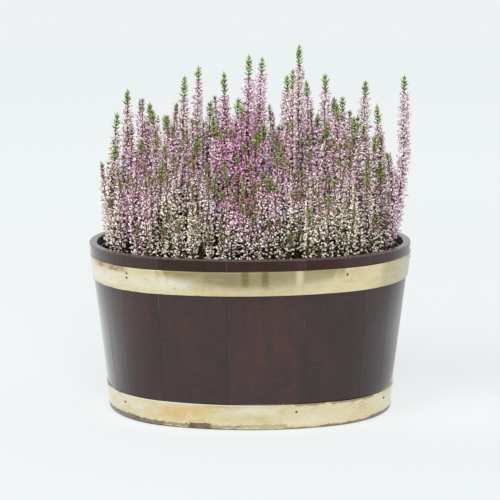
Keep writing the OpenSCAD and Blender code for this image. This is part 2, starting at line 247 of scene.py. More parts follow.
def plain_wood(name, light):
    """Unpolished boards of the bottom."""
    mat, g, p = principled(name, IOR=1.45)
    at = g.place()
    grain = g.noise(g.scaled(at, (0.03, 1, 1)), 380, 5, 0.6)
    figure = g.noise(g.scaled(at, (0.12, 1, 1)), 60, 4, 0.5, 1.2)
    base = g.ramp(g.math("ADD", g.math("MULTIPLY", figure, 0.6), g.math("MULTIPLY", grain, 0.4)), [(0.34, (0.050 * light, 0.026 * light, 0.015 * light)), (0.52, (0.105 * light, 0.058 * light, 0.034 * light)), (0.68, (0.16 * light, 0.095 * light, 0.058 * light))])
    stain = g.noise(at, 26, 5, 0.6)
    g.put(p["Base Color"], g.mix(g.span(stain, 0.52, 0.7, 0.0, 0.6), base, (0.022, 0.017, 0.013)))
    g.put(p["Roughness"], g.span(grain, 0.3, 0.7, 0.62, 0.82))
    g.put(p["Normal"], g.bump(grain, 0.0005, 0.6))
    return mat


def brass(name, seed, low, high, dirt_low, dirt_high, worn=1.0, stray=0.010, gloom=1.0, patches=(), crusts=(), bright=()):
    """Rubbed brass band: gently uneven, scratched along its length, dirty at its margins."""
    mat, g, p = principled(name, Metallic=1.0)
    at = g.place()
    shift = (seed * 0.31, seed * 0.47, seed * 0.19)
    broad = g.noise(g.scaled(at, (1, 1, 1.6), shift), 17, 4, 0.6, 0.3)
    patch = g.noise(g.scaled(at, (1, 1, 2.2), shift), 52, 5, 0.62, 0.5)
    speck = g.noise(g.scaled(at, (1, 1, 1), shift), 430, 3, 0.6)
    rub = g.noise(g.scaled(at, (0.05, 0.05, 1), shift), 900, 4, 0.6)
    z = g.axis(at, "Z")
    tint = g.ramp(broad, [(0.30, (0.74, 0.60, 0.33)), (0.46, (0.83, 0.715, 0.445)), (0.60, (0.86, 0.765, 0.52)), (0.74, (0.79, 0.655, 0.37))])
    tint = g.mix(g.span(patch, 0.53, 0.66, 0.0, 0.60 * worn), tint, (0.70, 0.505, 0.215))
    tint = g.mix(g.math("MULTIPLY", g.span(rub, 0.44, 0.62), 0.20), tint, (0.60, 0.47, 0.25))
    grime = g.span(g.noise(g.scaled(at, (1, 1, 1.4), shift), 74, 6, 0.68, 0.6), 0.60, 0.74, 0.0, 0.75 * worn)
    wander = g.math("MULTIPLY", g.math("SUBTRACT", g.noise(g.scaled(at, (1, 1, 0.5), shift), 95, 5, 0.7), 0.5), stray)
    zz = g.math("ADD", z, wander)
    low_edge = g.span(zz, low + dirt_low, low + dirt_low * 0.35, 0.0, 1.0)
    high_edge = g.span(zz, high - dirt_high, high + 0.001, 0.0, 0.9)
    edges = g.math("MAXIMUM", low_edge, high_edge)
    soil = g.math("MAXIMUM", g.math("MULTIPLY", edges, 0.85), grime)
    specks = g.math("MULTIPLY", g.span(speck, 0.70, 0.76), g.span(patch, 0.40, 0.62, 0.15, 0.9))
    soil = g.math("MAXIMUM", soil, specks)
    stain = g.math("MULTIPLY", g.span(zz, high - 0.0075, high - 0.001), g.span(g.noise(g.scaled(at, (1, 1, 0.3), shift), 13, 3, 0.6), 0.52, 0.66))
    tint = g.mix(g.math("MULTIPLY", stain, 0.75 * worn), tint, (0.56, 0.42, 0.19))
    mottle = g.noise(g.scaled(at, (1, 1, 1.5), shift), 60, 6, 0.7, 0.4)
    here = g.span(g.math("ADD", g.axis(at, "Y"), g.math("MULTIPLY", g.math("SUBTRACT", mottle, 0.5), 0.11)), 0.014, 0.002)
    # patches of colour on the front: stains, and pale ones that are painted highlights
    for cx, wide, cz, tall, amount, colour in patches:
        off_x = g.math("ABSOLUTE", g.math("SUBTRACT", g.axis(at, "X"), cx))
        off_z = g.math("ABSOLUTE", g.math("SUBTRACT", zz, cz))
        mask = g.math("MULTIPLY", g.math("MULTIPLY", g.span(off_x, wide, wide * 0.35), g.span(off_z, tall, tall * 0.3)), g.math("MULTIPLY", here, g.span(mottle, 0.36, 0.56, 0.25, 1.0)))
        tint = g.mix(g.math("MULTIPLY", mask, amount), tint, colour)
    tint = g.mix(soil, tint, g.ramp(patch, [(0.35, (0.165, 0.110, 0.055)), (0.65, (0.34, 0.255, 0.15))]))
    # the dried crust along the foot of a hoop, with ragged edges
    if crusts:
        rag = g.noise(g.scaled(at, (1, 1, 0.8), shift), 210, 5, 0.72)
        rag2 = g.noise(g.scaled(at, (1, 1, 0.8), (shift[1], shift[2], shift[0])), 170, 5, 0.70)
        xw = g.math("ADD", g.axis(at, "X"), g.math("MULTIPLY", g.math("SUBTRACT", rag, 0.5), 0.020))
        zw = g.math("ADD", z, g.math("MULTIPLY", g.math("SUBTRACT", rag2, 0.5), 0.0085))
        # the crust grows thinner round the ends and is gone at the back
        zw = g.math("ADD", zw, g.span(g.axis(at, "Y"), -0.020, 0.110, 0.0, 0.015))
        crumb = g.noise(g.scaled(at, (1, 1, 1.3), shift), 420, 4, 0.65)
        for x0, x1, z0, z1, amount, colour in crusts:
            mask = g.math("MULTIPLY", g.math("MULTIPLY", g.span(xw, x0 - 0.0008, x0 + 0.0008), g.span(xw, x1 + 0.0008, x1 - 0.0008)), g.math("MULTIPLY", g.span(zw, z0 - 0.0004, z0 + 0.0004), g.span(zw, z1 + 0.0005, z1 - 0.0005)))
            mask = g.math("MULTIPLY", mask, g.span(crumb, 0.30, 0.50, amount * 0.70, amount))
            if z0 > 0:
                mask = g.math("MULTIPLY", mask, here)
            tint = g.mix(mask, tint, g.mix(1.0, colour, g.ramp(crumb, [(0.35, (0.75, 0.75, 0.75)), (0.68, (1.35, 1.35, 1.35))]), "MULTIPLY"))
            soil = g.math("MAXIMUM", soil, mask)
    # painted highlights: pale lines along the hoop's edges stand in for light caught on its arrises
    for x0, x1, zc, slope, half, amount in bright:
        off_z = g.math("ABSOLUTE", g.math("SUBTRACT", g.math("SUBTRACT", z, g.math("MULTIPLY", g.axis(at, "X"), slope)), zc))
        mask = g.math("MULTIPLY", g.math("MULTIPLY", g.span(g.axis(at, "X"), x0 - 0.012, x0 + 0.012), g.span(g.axis(at, "X"), x1 + 0.012, x1 - 0.012)), g.math("MULTIPLY", g.span(off_z, half, half * 0.4), here))
        tint = g.mix(g.math("MULTIPLY", mask, g.span(mottle, 0.30, 0.50, amount * 0.5, amount)), tint, (1.0, 0.96, 0.82))
    # painted sheen: the brass grows paler and less yellow where it is seen aslant
    facing = g.new("ShaderNodeLayerWeight").outputs["Facing"]
    tint = g.mix(g.math("MULTIPLY", g.span(facing, 0.10, 0.75), 0.55), tint, g.mix(1.0, tint, (1.06, 1.13, 1.42), "MULTIPLY"))
    if gloom != 1.0:
        tint = g.mix(1.0, tint, (gloom, gloom * 0.92, gloom * 0.82), "MULTIPLY")
    g.put(p["Base Color"], tint)
    rough = g.math("ADD", g.span(broad, 0.3, 0.7, 0.035, 0.080), g.math("MULTIPLY", soil, 0.32))
    rough = g.math("ADD", rough, g.math("MULTIPLY", rub, 0.035))
    if gloom != 1.0:
        rough = g.math("ADD", rough, 0.30)
    g.put(p["Roughness"], rough)
    wave = g.bump(g.noise(g.scaled(at, (1, 1, 0.55), shift), 24, 2, 0.4), 0.0004, 0.28)
    lines = g.bump(rub, 0.000008, 0.30, wave)
    g.put(p["Normal"], g.bump(g.math("ADD", g.math("MULTIPLY", patch, 0.6), g.math("MULTIPLY", speck, -0.35)), 0.00004, 0.30, lines))
    return mat


def zinc():
    mat, g, p = principled("liner_zinc", Metallic=0.35)
    at = g.place()
    zinc_bloom_and_painted_sheen = g.noise(at, 46, 7, 0.70, 0.3)
    fine = g.noise(at, 260, 5, 0.6)
    streak = g.noise(g.scaled(at, (1, 1, 0.07)), 150, 5, 0.65)
    base = g.ramp(g.math("ADD", g.math("MULTIPLY", zinc_bloom_and_painted_sheen, 0.6), g.math("MULTIPLY", fine, 0.4)), [(0.34, (0.058, 0.060, 0.063)), (0.5, (0.085, 0.089, 0.093)), (0.66, (0.118, 0.123, 0.126))])
    base = g.mix(g.span(streak, 0.5, 0.72, 0.0, 0.5), base, (0.030, 0.029, 0.028))
    base = g.mix(g.span(fine, 0.62, 0.74, 0.0, 0.55), base, (0.26, 0.265, 0.26))
    z = g.axis(at, "Z")
    base = g.mix(g.span(g.math("ADD", z, g.math("MULTIPLY", zinc_bloom_and_painted_sheen, 0.03)), 0.075, 0.03, 0.0, 0.6), base, (0.045, 0.035, 0.026))
    g.put(p["Base Color"], base)
    g.put(p["Roughness"], g.span(zinc_bloom_and_painted_sheen, 0.3, 0.7, 0.46, 0.70))
    g.put(p["Normal"], g.bump(fine, 0.0002, 0.5, g.bump(g.noise(at, 20, 3), 0.0010, 0.3)))
    return mat


def plastic():
    mat, g, p = principled("pot_black", IOR=1.47)
    at = g.place()
    dust = g.noise(at, 60, 6, 0.7, 0.4)
    grainy = g.noise(at, 900, 2, 0.5)
    base = g.ramp(g.noise(at, 14, 3), [(0.35, (0.016, 0.015, 0.0145)), (0.65, (0.030, 0.028, 0.026))])
    g.put(p["Base Color"], g.mix(g.span(dust, 0.52, 0.72, 0.0, 0.55), base, (0.105, 0.080, 0.058)))
    g.put(p["Roughness"], g.span(dust, 0.3, 0.7, 0.38, 0.66))
    g.put(p["Normal"], g.bump(grainy, 0.00012, 0.5))
    return mat


def soil():
    mat, g, p = principled("compost_crumbs", IOR=1.35)
    at = g.place()
    big = g.cells(at, 260)
    fine = g.noise(at, 700, 5, 0.65)
    bits = g.noise(at, 330, 2, 0.4)
    base = g.ramp(fine, [(0.3, (0.010, 0.0065, 0.0045)), (0.52, (0.032, 0.020, 0.0125)), (0.72, (0.072, 0.047, 0.028))])
    base = g.mix(g.span(bits, 0.66, 0.72, 0.0, 0.8), base, (0.20, 0.135, 0.075))
    g.put(p["Base Color"], base)
    g.put(p["Roughness"], g.span(fine, 0.3, 0.7, 0.80, 0.98))
    g.put(p["Normal"], g.bump(g.math("ADD", big, g.math("MULTIPLY", fine, 0.6)), 0.0012, 0.8))
    return mat


# Plant palette: eight bands across U; V runs from the foot of a bell, leaf or twig to its mouth or tip. The darker feet
# are partly the plant's own colour and partly painted shade among the bells.
PETAL_DEEP, PETAL_PINK, PETAL_PALE, PETAL_CREAM, BUD, TIP_GREEN, LEAF_GREEN, TWIG = range(8)
FOOT = [(0.150, 0.030, 0.060), (0.160, 0.056, 0.064), (0.185, 0.090, 0.070), (0.180, 0.126, 0.050), (0.115, 0.062, 0.034), (0.070, 0.100, 0.018), (0.022, 0.025, 0.006), (0.044, 0.020, 0.009)]
MOUTH = [(0.850, 0.385, 0.610), (0.980, 0.590, 0.740), (1.000, 0.755, 0.780), (1.000, 0.875, 0.680), (0.380, 0.225, 0.160), (0.265, 0.370, 0.075), (0.090, 0.098, 0.020), (0.105, 0.054, 0.025)]


def plant_material():
    mat, g, p = principled("heather_plant", IOR=1.40, Roughness=0.62)
    uv = g.new("ShaderNodeUVMap", uv_map="shade").outputs[0]
    u, v = g.axis(uv, "X"), g.axis(uv, "Y")
    foot = g.ramp(u, [(i / 8, c) for i, c in enumerate(FOOT)], "CONSTANT")
    mouth = g.ramp(u, [(i / 8, c) for i, c in enumerate(MOUTH)], "CONSTANT")
    # darker towards the foot: partly the plant's own colour, partly painted shade
    colour = g.mix(g.span(v, 0.22, 0.72), foot, mouth)
    tone = g.math("FRACT", g.math("MULTIPLY", u, 8.0))
    bright = g.span(tone, 0.0, 1.0, 0.50, 1.46)
    n = g.new("ShaderNodeCombineXYZ")
    for i in range(3):
        g.put(n.inputs[i], bright)
    shade = g.mix(1.0, colour, n.outputs[0], "MULTIPLY")
    shade.node.clamp_result = True
    g.put(p["Base Color"], shade)
    at = g.place()
    g.put(p["Roughness"], g.span(g.noise(at, 300, 2), 0.3, 0.7, 0.52, 0.74))
    g.put(p["Normal"], g.bump(g.noise(at, 1500, 3, 0.6), 0.0003, 0.6))
    return mat


def dress(node, mat):
    data = nodes[node].data
    data.materials.clear()
    data.materials.append(mat)
    for poly in data.polygons:
        poly.material_index = 0


# Patches on the front of the hoops, stains and, in PALE, painted highlights: x, half width, z, half height, strength,
# colour
BROWN, GOLD, PALE, UMBER = (0.36, 0.24, 0.08), (0.80, 0.60, 0.25), (0.93, 0.88, 0.70), (0.20, 0.13, 0.06)
CRUST, CLAY, SMOKE = (0.185, 0.150, 0.120), (0.150, 0.100, 0.075), (0.27, 0.215, 0.135)
# Crusts at the foot of the lower hoop and along its upper edge: x from, x to, z from, z to, strength, colour
LOWER_CRUSTS = [(-0.190, -0.136, -0.004, 0.0088, 0.90, CRUST), (-0.142, -0.104, -0.004, 0.0074, 0.90, CRUST), (-0.112, -0.066, 0.0026, 0.0064, 0.80, SMOKE), (-0.075, -0.0455, 0.0012, 0.0082, 0.90, CLAY), (-0.048, -0.010, 0.0026, 0.0060, 0.62, SMOKE),
                (-0.016, 0.046, 0.0030, 0.0072, 0.45, SMOKE), (0.040, 0.092, -0.002, 0.0036, 0.55, SMOKE), (0.085, 0.150, -0.004, 0.0042, 0.80, CRUST), (0.146, 0.190, -0.004, 0.0060, 0.85, CRUST), (0.052, 0.092, 0.0296, 0.0335, 0.62, CLAY), (0.098, 0.150, 0.0290, 0.0335, 0.62, CLAY)]
# Painted highlights along the edges of the hoops: x from, x to, height at the middle, slope, half width, strength
LOWER_EDGE_HIGHLIGHTS, UPPER_EDGE_HIGHLIGHTS = [(-0.150, 0.015, 0.0316, -0.00349, 0.0008, 0.8)], [(-0.118, -0.068, 0.1967, 0.00803, 0.0008, 0.9), (-0.045, 0.030, 0.1967, 0.00803, 0.0007, 0.6)]
UPPER_PATCHES = [(-0.168, 0.028, 0.1930, 0.0058, 1.0, BROWN), (-0.085, 0.040, 0.1940, 0.0036, 0.55, GOLD), (-0.088, 0.030, 0.1825, 0.0095, 0.95, PALE), (-0.034, 0.026, 0.1870, 0.0120, 0.55, (0.56, 0.47, 0.27)), (0.006, 0.030, 0.1890, 0.0100, 0.35, (0.56, 0.47, 0.27)), (-0.120, 0.045, 0.180, 0.010, 0.5, PALE), (-0.175, 0.025, 0.178, 0.010, 0.6, PALE), (0.165, 0.020, 0.190, 0.006, 0.5, GOLD)]
LOWER_PATCHES = [(-0.088, 0.050, 0.020, 0.013, 0.85, GOLD), (-0.055, 0.018, 0.026, 0.007, 0.5, GOLD), (-0.128, 0.030, 0.022, 0.010, 0.5, PALE), (0.010, 0.040, 0.024, 0.008, 0.6, PALE), (0.060, 0.050, 0.012, 0.009, 0.5, PALE)]

# The stave numbers with their redness and lightness: the middle stave of the front is the reddest.
for i in range(1, 21):
    look = np.random.default_rng(70 + i)
    red = {4: 1.8, 3: 0.5, 5: 0.2, 6: 0.7}.get(i, look.uniform(0.0, 1.1))
    light = {4: 1.12, 3: 0.95, 5: 0.86, 2: 1.05, 6: 0.90}.get(i, look.uniform(0.86, 1.08))
    dress(f"stave_{i:02d}", wood(f"stave_polish_{i:02d}", i * 1.7, red, light, JOINTS[i - 1:i + 1]))
for i, name in enumerate(("base_board_front", "base_board_middle", "base_board_back")):
    dress(name, plain_wood(f"bottom_board_{i + 1}", (0.9, 1.1, 1.0)[i]))
dress("hoop_upper", brass("hoop_brass_upper", 1.3, 0.1665, 0.1990, 0.0012, 0.0012, 0.55, 0.004, patches=UPPER_PATCHES, bright=UPPER_EDGE_HIGHLIGHTS))
dress("hoop_lower", brass("hoop_brass_lower", 4.1, -0.0005, 0.0330, 0.0034, 0.0012, 0.9, 0.0085, patches=LOWER_PATCHES, crusts=LOWER_CRUSTS, bright=LOWER_EDGE_HIGHLIGHTS))
for name in ("hoop_rivets_upper", "hoop_rivets_lower"):
    dress(name, brass("rivet_brass", 2.2, -1.0, 2.0, 0.001, 0.001, 0.8, gloom=0.40))
for name in ("hoop_pins_upper", "hoop_pins_lower"):
    dress(name, brass("pin_brass", 3.2, -1.0, 2.0, 0.001, 0.001, 1.4, gloom=0.24))
zinc_mat = zinc()
dress("liner_wall", zinc_mat)
dress("liner_floor", zinc_mat)
pot_mat = plastic()
for side in SIDES:
    dress("pot_" + side, pot_mat)


# ---------------------------------------------------------------- mesh making
def make_piece(name, verts, faces, mat, uvs=None, smooth=False):
    """A mesh object from arrays; uvs are per vertex and go to both maps."""
    verts = np.asarray(verts, np.float32)
    faces = np.asarray(faces, np.int32)
    me = bpy.data.meshes.new(name)
    me.vertices.add(len(verts))
    me.vertices.foreach_set("co", verts.ravel())
    sides = faces.shape[1]
    me.loops.add(faces.size)
    me.loops.foreach_set("vertex_index", faces.ravel())
    me.polygons.add(len(faces))
    me.polygons.foreach_set("loop_start", np.arange(0, faces.size, sides, dtype=np.int32))
    me.polygons.foreach_set("loop_total", np.full(len(faces), sides, np.int32))
    if uvs is not None:
        flat = np.asarray(uvs, np.float32)[faces.ravel()].ravel()
        for layer in ("shade", "OFBake"):
            me.uv_layers.new(name=layer).data.foreach_set("uv", flat)
    me.materials.append(mat)
    me.update(calc_edges=True)
    me.validate()
    if smooth:
        me.polygons.foreach_set("use_smooth", np.ones(len(me.polygons), bool))
    o = bpy.data.objects.new(name, me)
    scene.collection.objects.link(o)
    return o


def frames(t):
    """Two unit vectors square to each direction in t."""
    t = t / np.linalg.norm(t, axis=1, keepdims=True)
    ref = np.where(np.abs(t[:, 2:3]) < 0.9, [[0.0, 0.0, 1.0]], [[1.0, 0.0, 0.0]])
    a = np.cross(t, ref)
    a /= np.linalg.norm(a, axis=1, keepdims=True)
    return t, a, np.cross(t, a)


class Heap:
    """Collects stamped shapes of one mesh."""

    def __init__(self):
        self.v, self.f, self.uv, self.n = [], [], [], 0

    def add(self, verts, faces, uv):
        self.v.append(verts)
        self.f.append(faces + self.n)
        self.uv.append(uv)
        self.n += len(verts)

    def stamp(self, shape, at, along, roll, length, radius, band, tone, flat=1.0):
        """Sets one copy of shape at each place, pointing along, with its own length, radius, palette band and tone."""
        sv, sf, sw = shape
        n = len(at)
        if n == 0:
            return
        t, a, b = frames(along)
        c, s = np.cos(roll)[:, None], np.sin(roll)[:, None]
        x, y = a * c + b * s, b * c - a * s
        r = np.broadcast_to(np.asarray(radius, float), (n,))[:, None, None]
        l = np.broadcast_to(np.asarray(length, float), (n,))[:, None, None]
        verts = at[:, None] + x[:, None] * sv[None, :, 0:1] * r + y[:, None] * sv[None, :, 1:2] * r * flat + t[:, None] * sv[None, :, 2:3] * l
        faces = sf[None] + (np.arange(n) * len(sv))[:, None, None]
        u = (np.asarray(band) + 0.10 + 0.80 * np.asarray(tone)) / 8.0
        uv = np.empty((n, len(sv), 2))
        uv[:, :, 0] = u[:, None] + 0.0035 * sw[None, :, 0]
        uv[:, :, 1] = 0.04 + 0.92 * sw[None, :, 1]
        self.add(verts.reshape(-1, 3), faces.reshape(-1, 3), uv.reshape(-1, 2))


def ring(n, r, z, turn=0.0):
    k = (np.arange(n) + turn) * 2 * math.pi / n
    return np.stack([r * np.cos(k), r * np.sin(k), np.full(n, z)], 1)


def bell_shape():
    """A heather bell: a short foot, a swelling cup and four pointed lobes round a hollow mouth."""
    v = np.vstack([[[0, 0, 0]], ring(4, 0.66, 0.36, 0.5), ring(4, 1.0, 1.0, 0.0), [[0, 0, 0.58]]])
    f = []
    for i in range(4):
        j = (i + 1) % 4
        f += [(0, 1 + j, 1 + i), (1 + i, 1 + j, 5 + j), (1 + i, 5 + j, 5 + i), (5 + i, 5 + j, 9)]
    w = np.array([[0, 0.0]] + [[(-1) ** i, 0.42] for i in range(4)] + [[(-1) ** i, 1.0] for i in range(4)] + [[0, 0.55]], float)
    return v, np.array(f), w


def leaf_shape():
    """A narrow closed leaf or bud, widest a third of the way up."""
    v = np.vstack([[[0, 0, 0]], ring(4, 1.0, 0.36, 0.0), [[0, 0, 1.0]]])
    f = []
    for i in range(4):
        j = (i + 1) % 4
        f += [(0, 1 + j, 1 + i), (5, 1 + i, 1 + j)]
    w = np.array([[0, 0.0]] + [[(-1) ** i, 0.45] for i in range(4)] + [[0.4, 1.0]], float)
    return v, np.array(f), w


BELL, LEAF = bell_shape(), leaf_shape()


def tube(heap, path, radii, band, tone, sides=5):
    k = len(path)
    step = np.gradient(path, axis=0)
    t, a, b = frames(step)
    # frames are carried along the path so that the tube doesn't twist
    for i in range(1, k):
        a[i] = a[i - 1] - t[i] * np.dot(a[i - 1], t[i])
        a[i] /= np.linalg.norm(a[i])
        b[i] = np.cross(t[i], a[i])
    ang = np.arange(sides) * 2 * math.pi / sides
    v = path[:, None] + radii[:, None, None] * (a[:, None] * np.cos(ang)[None, :, None] + b[:, None] * np.sin(ang)[None, :, None])
    v = np.vstack([v.reshape(-1, 3), path[:1], path[-1:]])
    f = []
    for i in range(k - 1):
        for j in range(sides):
            m = (j + 1) % sides
            p, q, r, s = i * sides + j, i * sides + m, (i + 1) * sides + j, (i + 1) * sides + m
            f += [(p, q, s), (p, s, r)]
    for j in range(sides):
        m = (j + 1) % sides
        f += [(k * sides, m, j), (k * sides + 1, (k - 1) * sides + j, (k - 1) * sides + m)]
    u = (band + 0.10 + 0.80 * tone) / 8.0
    uv = np.empty((len(v), 2))
    uv[: k * sides, 0] = u + 0.0035 * np.tile((-1.0) ** np.arange(sides), k)
    uv[: k * sides, 1] = np.repeat(np.linspace(0.05, 0.9, k), sides)
    uv[k * sides:] = [[u, 0.05], [u, 0.9]]
    heap.add(v, np.array(f), uv)


# ------------------------------------------------------------------- the oval
def depth(x, y, z):
    """How far inside the tub's outer wall a place is, in metres, at height z (the wall leans out 0.114 per unit of height)."""
    x, y = np.abs(x), np.abs(y)
    lean = 0.114 * (0.211 - np.minimum(z, 0.211))
    end = (x - 0.0638) * 0.936 - y * 0.352 > 0
    d_end = 0.1362 - lean - np.hypot(x - 0.0638, y)
    d_side = 0.31745 - lean - np.hypot(x, y + 0.16965)
    return np.where(end, d_end, d_side)


def push_in(path, need):
    """Moves places inward, square to the wall, where they are nearer to it than need."""
    x, y, z = path.T
    short = np.maximum(need - depth(x, y, z), 0)
    sx, sy = np.sign(x), np.sign(y)
    end = (np.abs(x) - 0.0638) * 0.936 - np.abs(y) * 0.352 > 0
    cx = np.where(end, 0.0638 * sx, 0.0)
    cy = np.where(end, 0.0, -0.16965 * sy)
    dx, dy = x - cx, y - cy
    r = np.maximum(np.hypot(dx, dy), 1e-6)
    out = path.copy()
    out[:, 0] -= dx / r * short
    out[:, 1] -= dy / r * short
    return out


def border(y):
    """Where the middle plant ends and a side plant begins; it wanders where the pots leave room."""
    room = np.clip((np.abs(y) - 0.020) / 0.030, 0, 1)
    return 0.0572 + 0.0068 * room * np.sin(y * 120.0 + 0.8)


def keep_column(path, side, gap):
    """Keeps a shoot within its own plant's strip, so that the pots lift out past each other."""
    out = path.copy()
    b = border(out[:, 1])
    if side == "centre":
        out[:, 0] = np.clip(out[:, 0], -b + gap, b - gap)
    elif side == "left":
        out[:, 0] = np.minimum(out[:, 0], -b - gap)
    else:
        out[:, 0] = np.maximum(out[:, 0], b + gap)
    return out


# Tall shoots that stand out of the mass: where their tips are, in metres (x, y, z).
TALL = TALL_LIST = [
    (0.0612, 0.035, 0.4490), (-0.0036, 0.010, 0.4380), (0.0130, 0.035, 0.4330), (0.0500, -0.012, 0.4215), (-0.0655, 0.012, 0.4235),
    (0.1930, 0.010, 0.4125), (-0.0335, 0.030, 0.4160), (-0.0810, 0.020, 0.4110), (0.0900, 0.030, 0.4130), (0.0715, 0.012, 0.4060),
    (0.0470, 0.045, 0.4100), (0.1450, 0.035, 0.4040), (-0.1500, 0.015, 0.3950), (-0.0190, 0.000, 0.3860), (0.1060, 0.028, 0.3840),
    (0.1580, 0.008, 0.3770), (-0.0490, 0.022, 0.3800), (0.1210, 0.040, 0.3830), (-0.0420, -0.020, 0.3660), (-0.0300, 0.050, 0.3820),
    (-0.1190, 0.020, 0.3700), (-0.1660, 0.010, 0.3670), (-0.1300, 0.045, 0.3760), (-0.1040, 0.005, 0.3630), (0.0930, -0.010, 0.3570),
    (0.1270, 0.010, 0.3620), (0.0165, -0.005, 0.3560), (0.0070, -0.022, 0.3480), (-0.0645, -0.010, 0.3440), (0.1520, -0.012, 0.3410),
    (-0.1340, -0.015, 0.3370), (0.0880, 0.050, 0.3620), (0.1100, 0.055, 0.3620), (0.1350, 0.055, 0.3590), (0.0330, 0.000, 0.3390),
    (-0.1700, -0.012, 0.3310), (0.1220, -0.020, 0.3280), (-0.0860, 0.060, 0.3560), (0.1660, 0.030, 0.3440), (0.0270, -0.050, 0.2980),
    (0.1620, -0.010, 0.3080), (-0.1735, 0.000, 0.3060),
]


def hold(points, along, reach, side):
    """Moves a bell or leaf that would reach over the border back towards its own shoot."""
    ends = points + along * np.reshape(reach, (-1, 1))
    b1, b2 = border(points[:, 1]), border(ends[:, 1])
    low, high = np.minimum(points[:, 0], ends[:, 0]), np.maximum(points[:, 0], ends[:, 0])
    out = points.copy()
    if side == "centre":
        b = np.minimum(b1, b2) - 0.0016
        out[:, 0] += np.maximum(-b - low, 0) - np.maximum(high - b, 0)
    elif side == "left":
        out[:, 0] -= np.maximum(high + np.maximum(b1, b2) + 0.0016, 0)
    else:
        out[:, 0] += np.maximum(np.maximum(b1, b2) + 0.0016 - low, 0)
    return out


def scatter(look, spacing, tries=9000):
    """Places over the oval, no two nearer than the spacing, with more room towards the rim kept clear."""
    found = []
    for _ in range(tries):
        x, y = look.uniform(-0.178, 0.178), look.uniform(-0.125, 0.125)
        if depth(x, y, 0.211) < 0.0215:
            continue
        if all((x - a) ** 2 + (y - b) ** 2 > spacing ** 2 for a, b in found):
            found.append((x, y))
    return found


look = np.random.default_rng(1854)
shoots = {side: [] for side in SIDES}


def side_of(x):
    return "centre" if abs(x) < 0.0572 else ("left" if x < 0 else "right")


for x, y, z in TALL:
    shoots[side_of(x)].append((x, y, z, "tall"))
def round_the_rim(inset, spacing):
    """Places along a line that runs round the oval at one distance inside the outer wall."""
    fine = []
    for turn in np.linspace(0, 2 * math.pi, 2400, endpoint=False):
        c, s = math.cos(turn), math.sin(turn)
        r = np.linspace(0.06, 0.21, 600)
        fine.append(((r * c)[np.argmin(np.abs(depth(r * c, r * s, 0.211) - inset))], (r * s)[np.argmin(np.abs(depth(r * c, r * s, 0.211) - inset))]))
    fine = np.array(fine)
    run = np.concatenate([[0], np.cumsum(np.linalg.norm(np.diff(fine, axis=0), axis=1))])
    at = np.arange(0, run[-1] - spacing * 0.6, spacing)
    return [(float(np.interp(a, run, fine[:, 0])), float(np.interp(a, run, fine[:, 1]))) for a in at]


for x, y in round_the_rim(0.0262, 0.0152):
    x, y = x + look.normal(0, 0.0010), y + look.normal(0, 0.0010)
    front = max(0.0, -y) / 0.12
    shoots[side_of(x)].append((x, y, look.uniform(0.262, 0.322) - 0.026 * front, "fill"))
for x, y in round_the_rim(0.0400, 0.0168):
    x, y = x + look.normal(0, 0.0010), y + look.normal(0, 0.0010)
    front = max(0.0, -y) / 0.12
    shoots[side_of(x)].append((x, y, look.uniform(0.285, 0.345) - 0.030 * front, "fill"))
for x, y in scatter(look, 0.0178):
    if any((x - a) ** 2 + (y - b) ** 2 < 0.0125 ** 2 for a, b, _, _ in shoots[side_of(x)]):
        continue
    front = max(0.0, -y) / 0.12
    back = max(0.0, y) / 0.12
    edge = max(0.0, 1 - depth(x, y, 0.211) / 0.055)
    top = 0.352 - 0.074 * front ** 1.2 - 0.016 * back - 0.030 * edge + look.normal(0, 0.017)
    shoots[side_of(x)].append((x, y, min(max(top, 0.244), 0.385), "fill"))
for _ in range(32):
    x, y = look.uniform(-0.155, 0.158), look.uniform(-0.030, 0.080)
    if depth(x, y, 0.211) > 0.035:
        shoots[side_of(x)].append((x, y, look.uniform(0.345, 0.388) - 0.10 * abs(x), "slim"))
# Shoots that close the gaps of the front row: x, y, top
for side in (-1, 1):
    for y, z in ((-0.1020, 0.262), (-0.0880, 0.276), (-0.0740, 0.290), (-0.0600, 0.302), (-0.0460, 0.312)):
        for off in (-0.0056, 0.0056):
            x = side * (border(y) + off)
            shoots["centre" if off < 0 else ("left" if side < 0 else "right")].append((x, y + look.normal(0, 0.002), z + look.normal(0, 0.008), "edge"))
for x, y, z in ((-0.1030, -0.0820, 0.268), (-0.0950, -0.0700, 0.292), (-0.1110, -0.0700, 0.300), (-0.0660, -0.0900, 0.276), (-0.0640, -0.0700, 0.300), (-0.1240, -0.0600, 0.310),
                (-0.0035, -0.0930, 0.262), (-0.0045, -0.0790, 0.284), (-0.0025, -0.0640, 0.303), (0.0070, -0.0720, 0.292), (-0.0110, -0.0500, 0.318),
                (-0.0290, -0.0960, 0.262), (-0.0270, -0.0850, 0.282), (0.0105, -0.0970, 0.256), (0.0115, -0.0860, 0.276),
                (0.0205, -0.0960, 0.254), (0.0215, -0.0850, 0.274), (0.0330, -0.0930, 0.256)):
    shoots[side_of(x)].append((x, y, z, "fill"))


# Shoots for the widest spaces that are left
spaces = np.array([(x, y) for x in np.arange(-0.168, 0.1681, 0.004) for y in np.arange(-0.116, 0.1161, 0.004) if depth(x, y, 0.211) > 0.029 and abs(abs(x) - 0.0572) > 0.005])
taken = np.array([(a, b) for side in SIDES for a, b, _, _ in shoots[side]])
near = np.array([np.min(np.hypot(*(taken - q).T)) for q in spaces])
added = 0
while near.max() > 0.0136:
    x, y = spaces[near.argmax()]
    near = np.minimum(near, np.hypot(*(spaces - (x, y)).T))
    front, back = max(0.0, -y) / 0.12, max(0.0, y) / 0.12
    top = 0.350 - 0.074 * front ** 1.2 - 0.016 * back - 0.030 * max(0.0, 1 - depth(x, y, 0.211) / 0.055) + look.normal(0, 0.014)
    shoots[side_of(x)].append((x, y, min(max(top, 0.244), 0.375), "fill"))
    added += 1
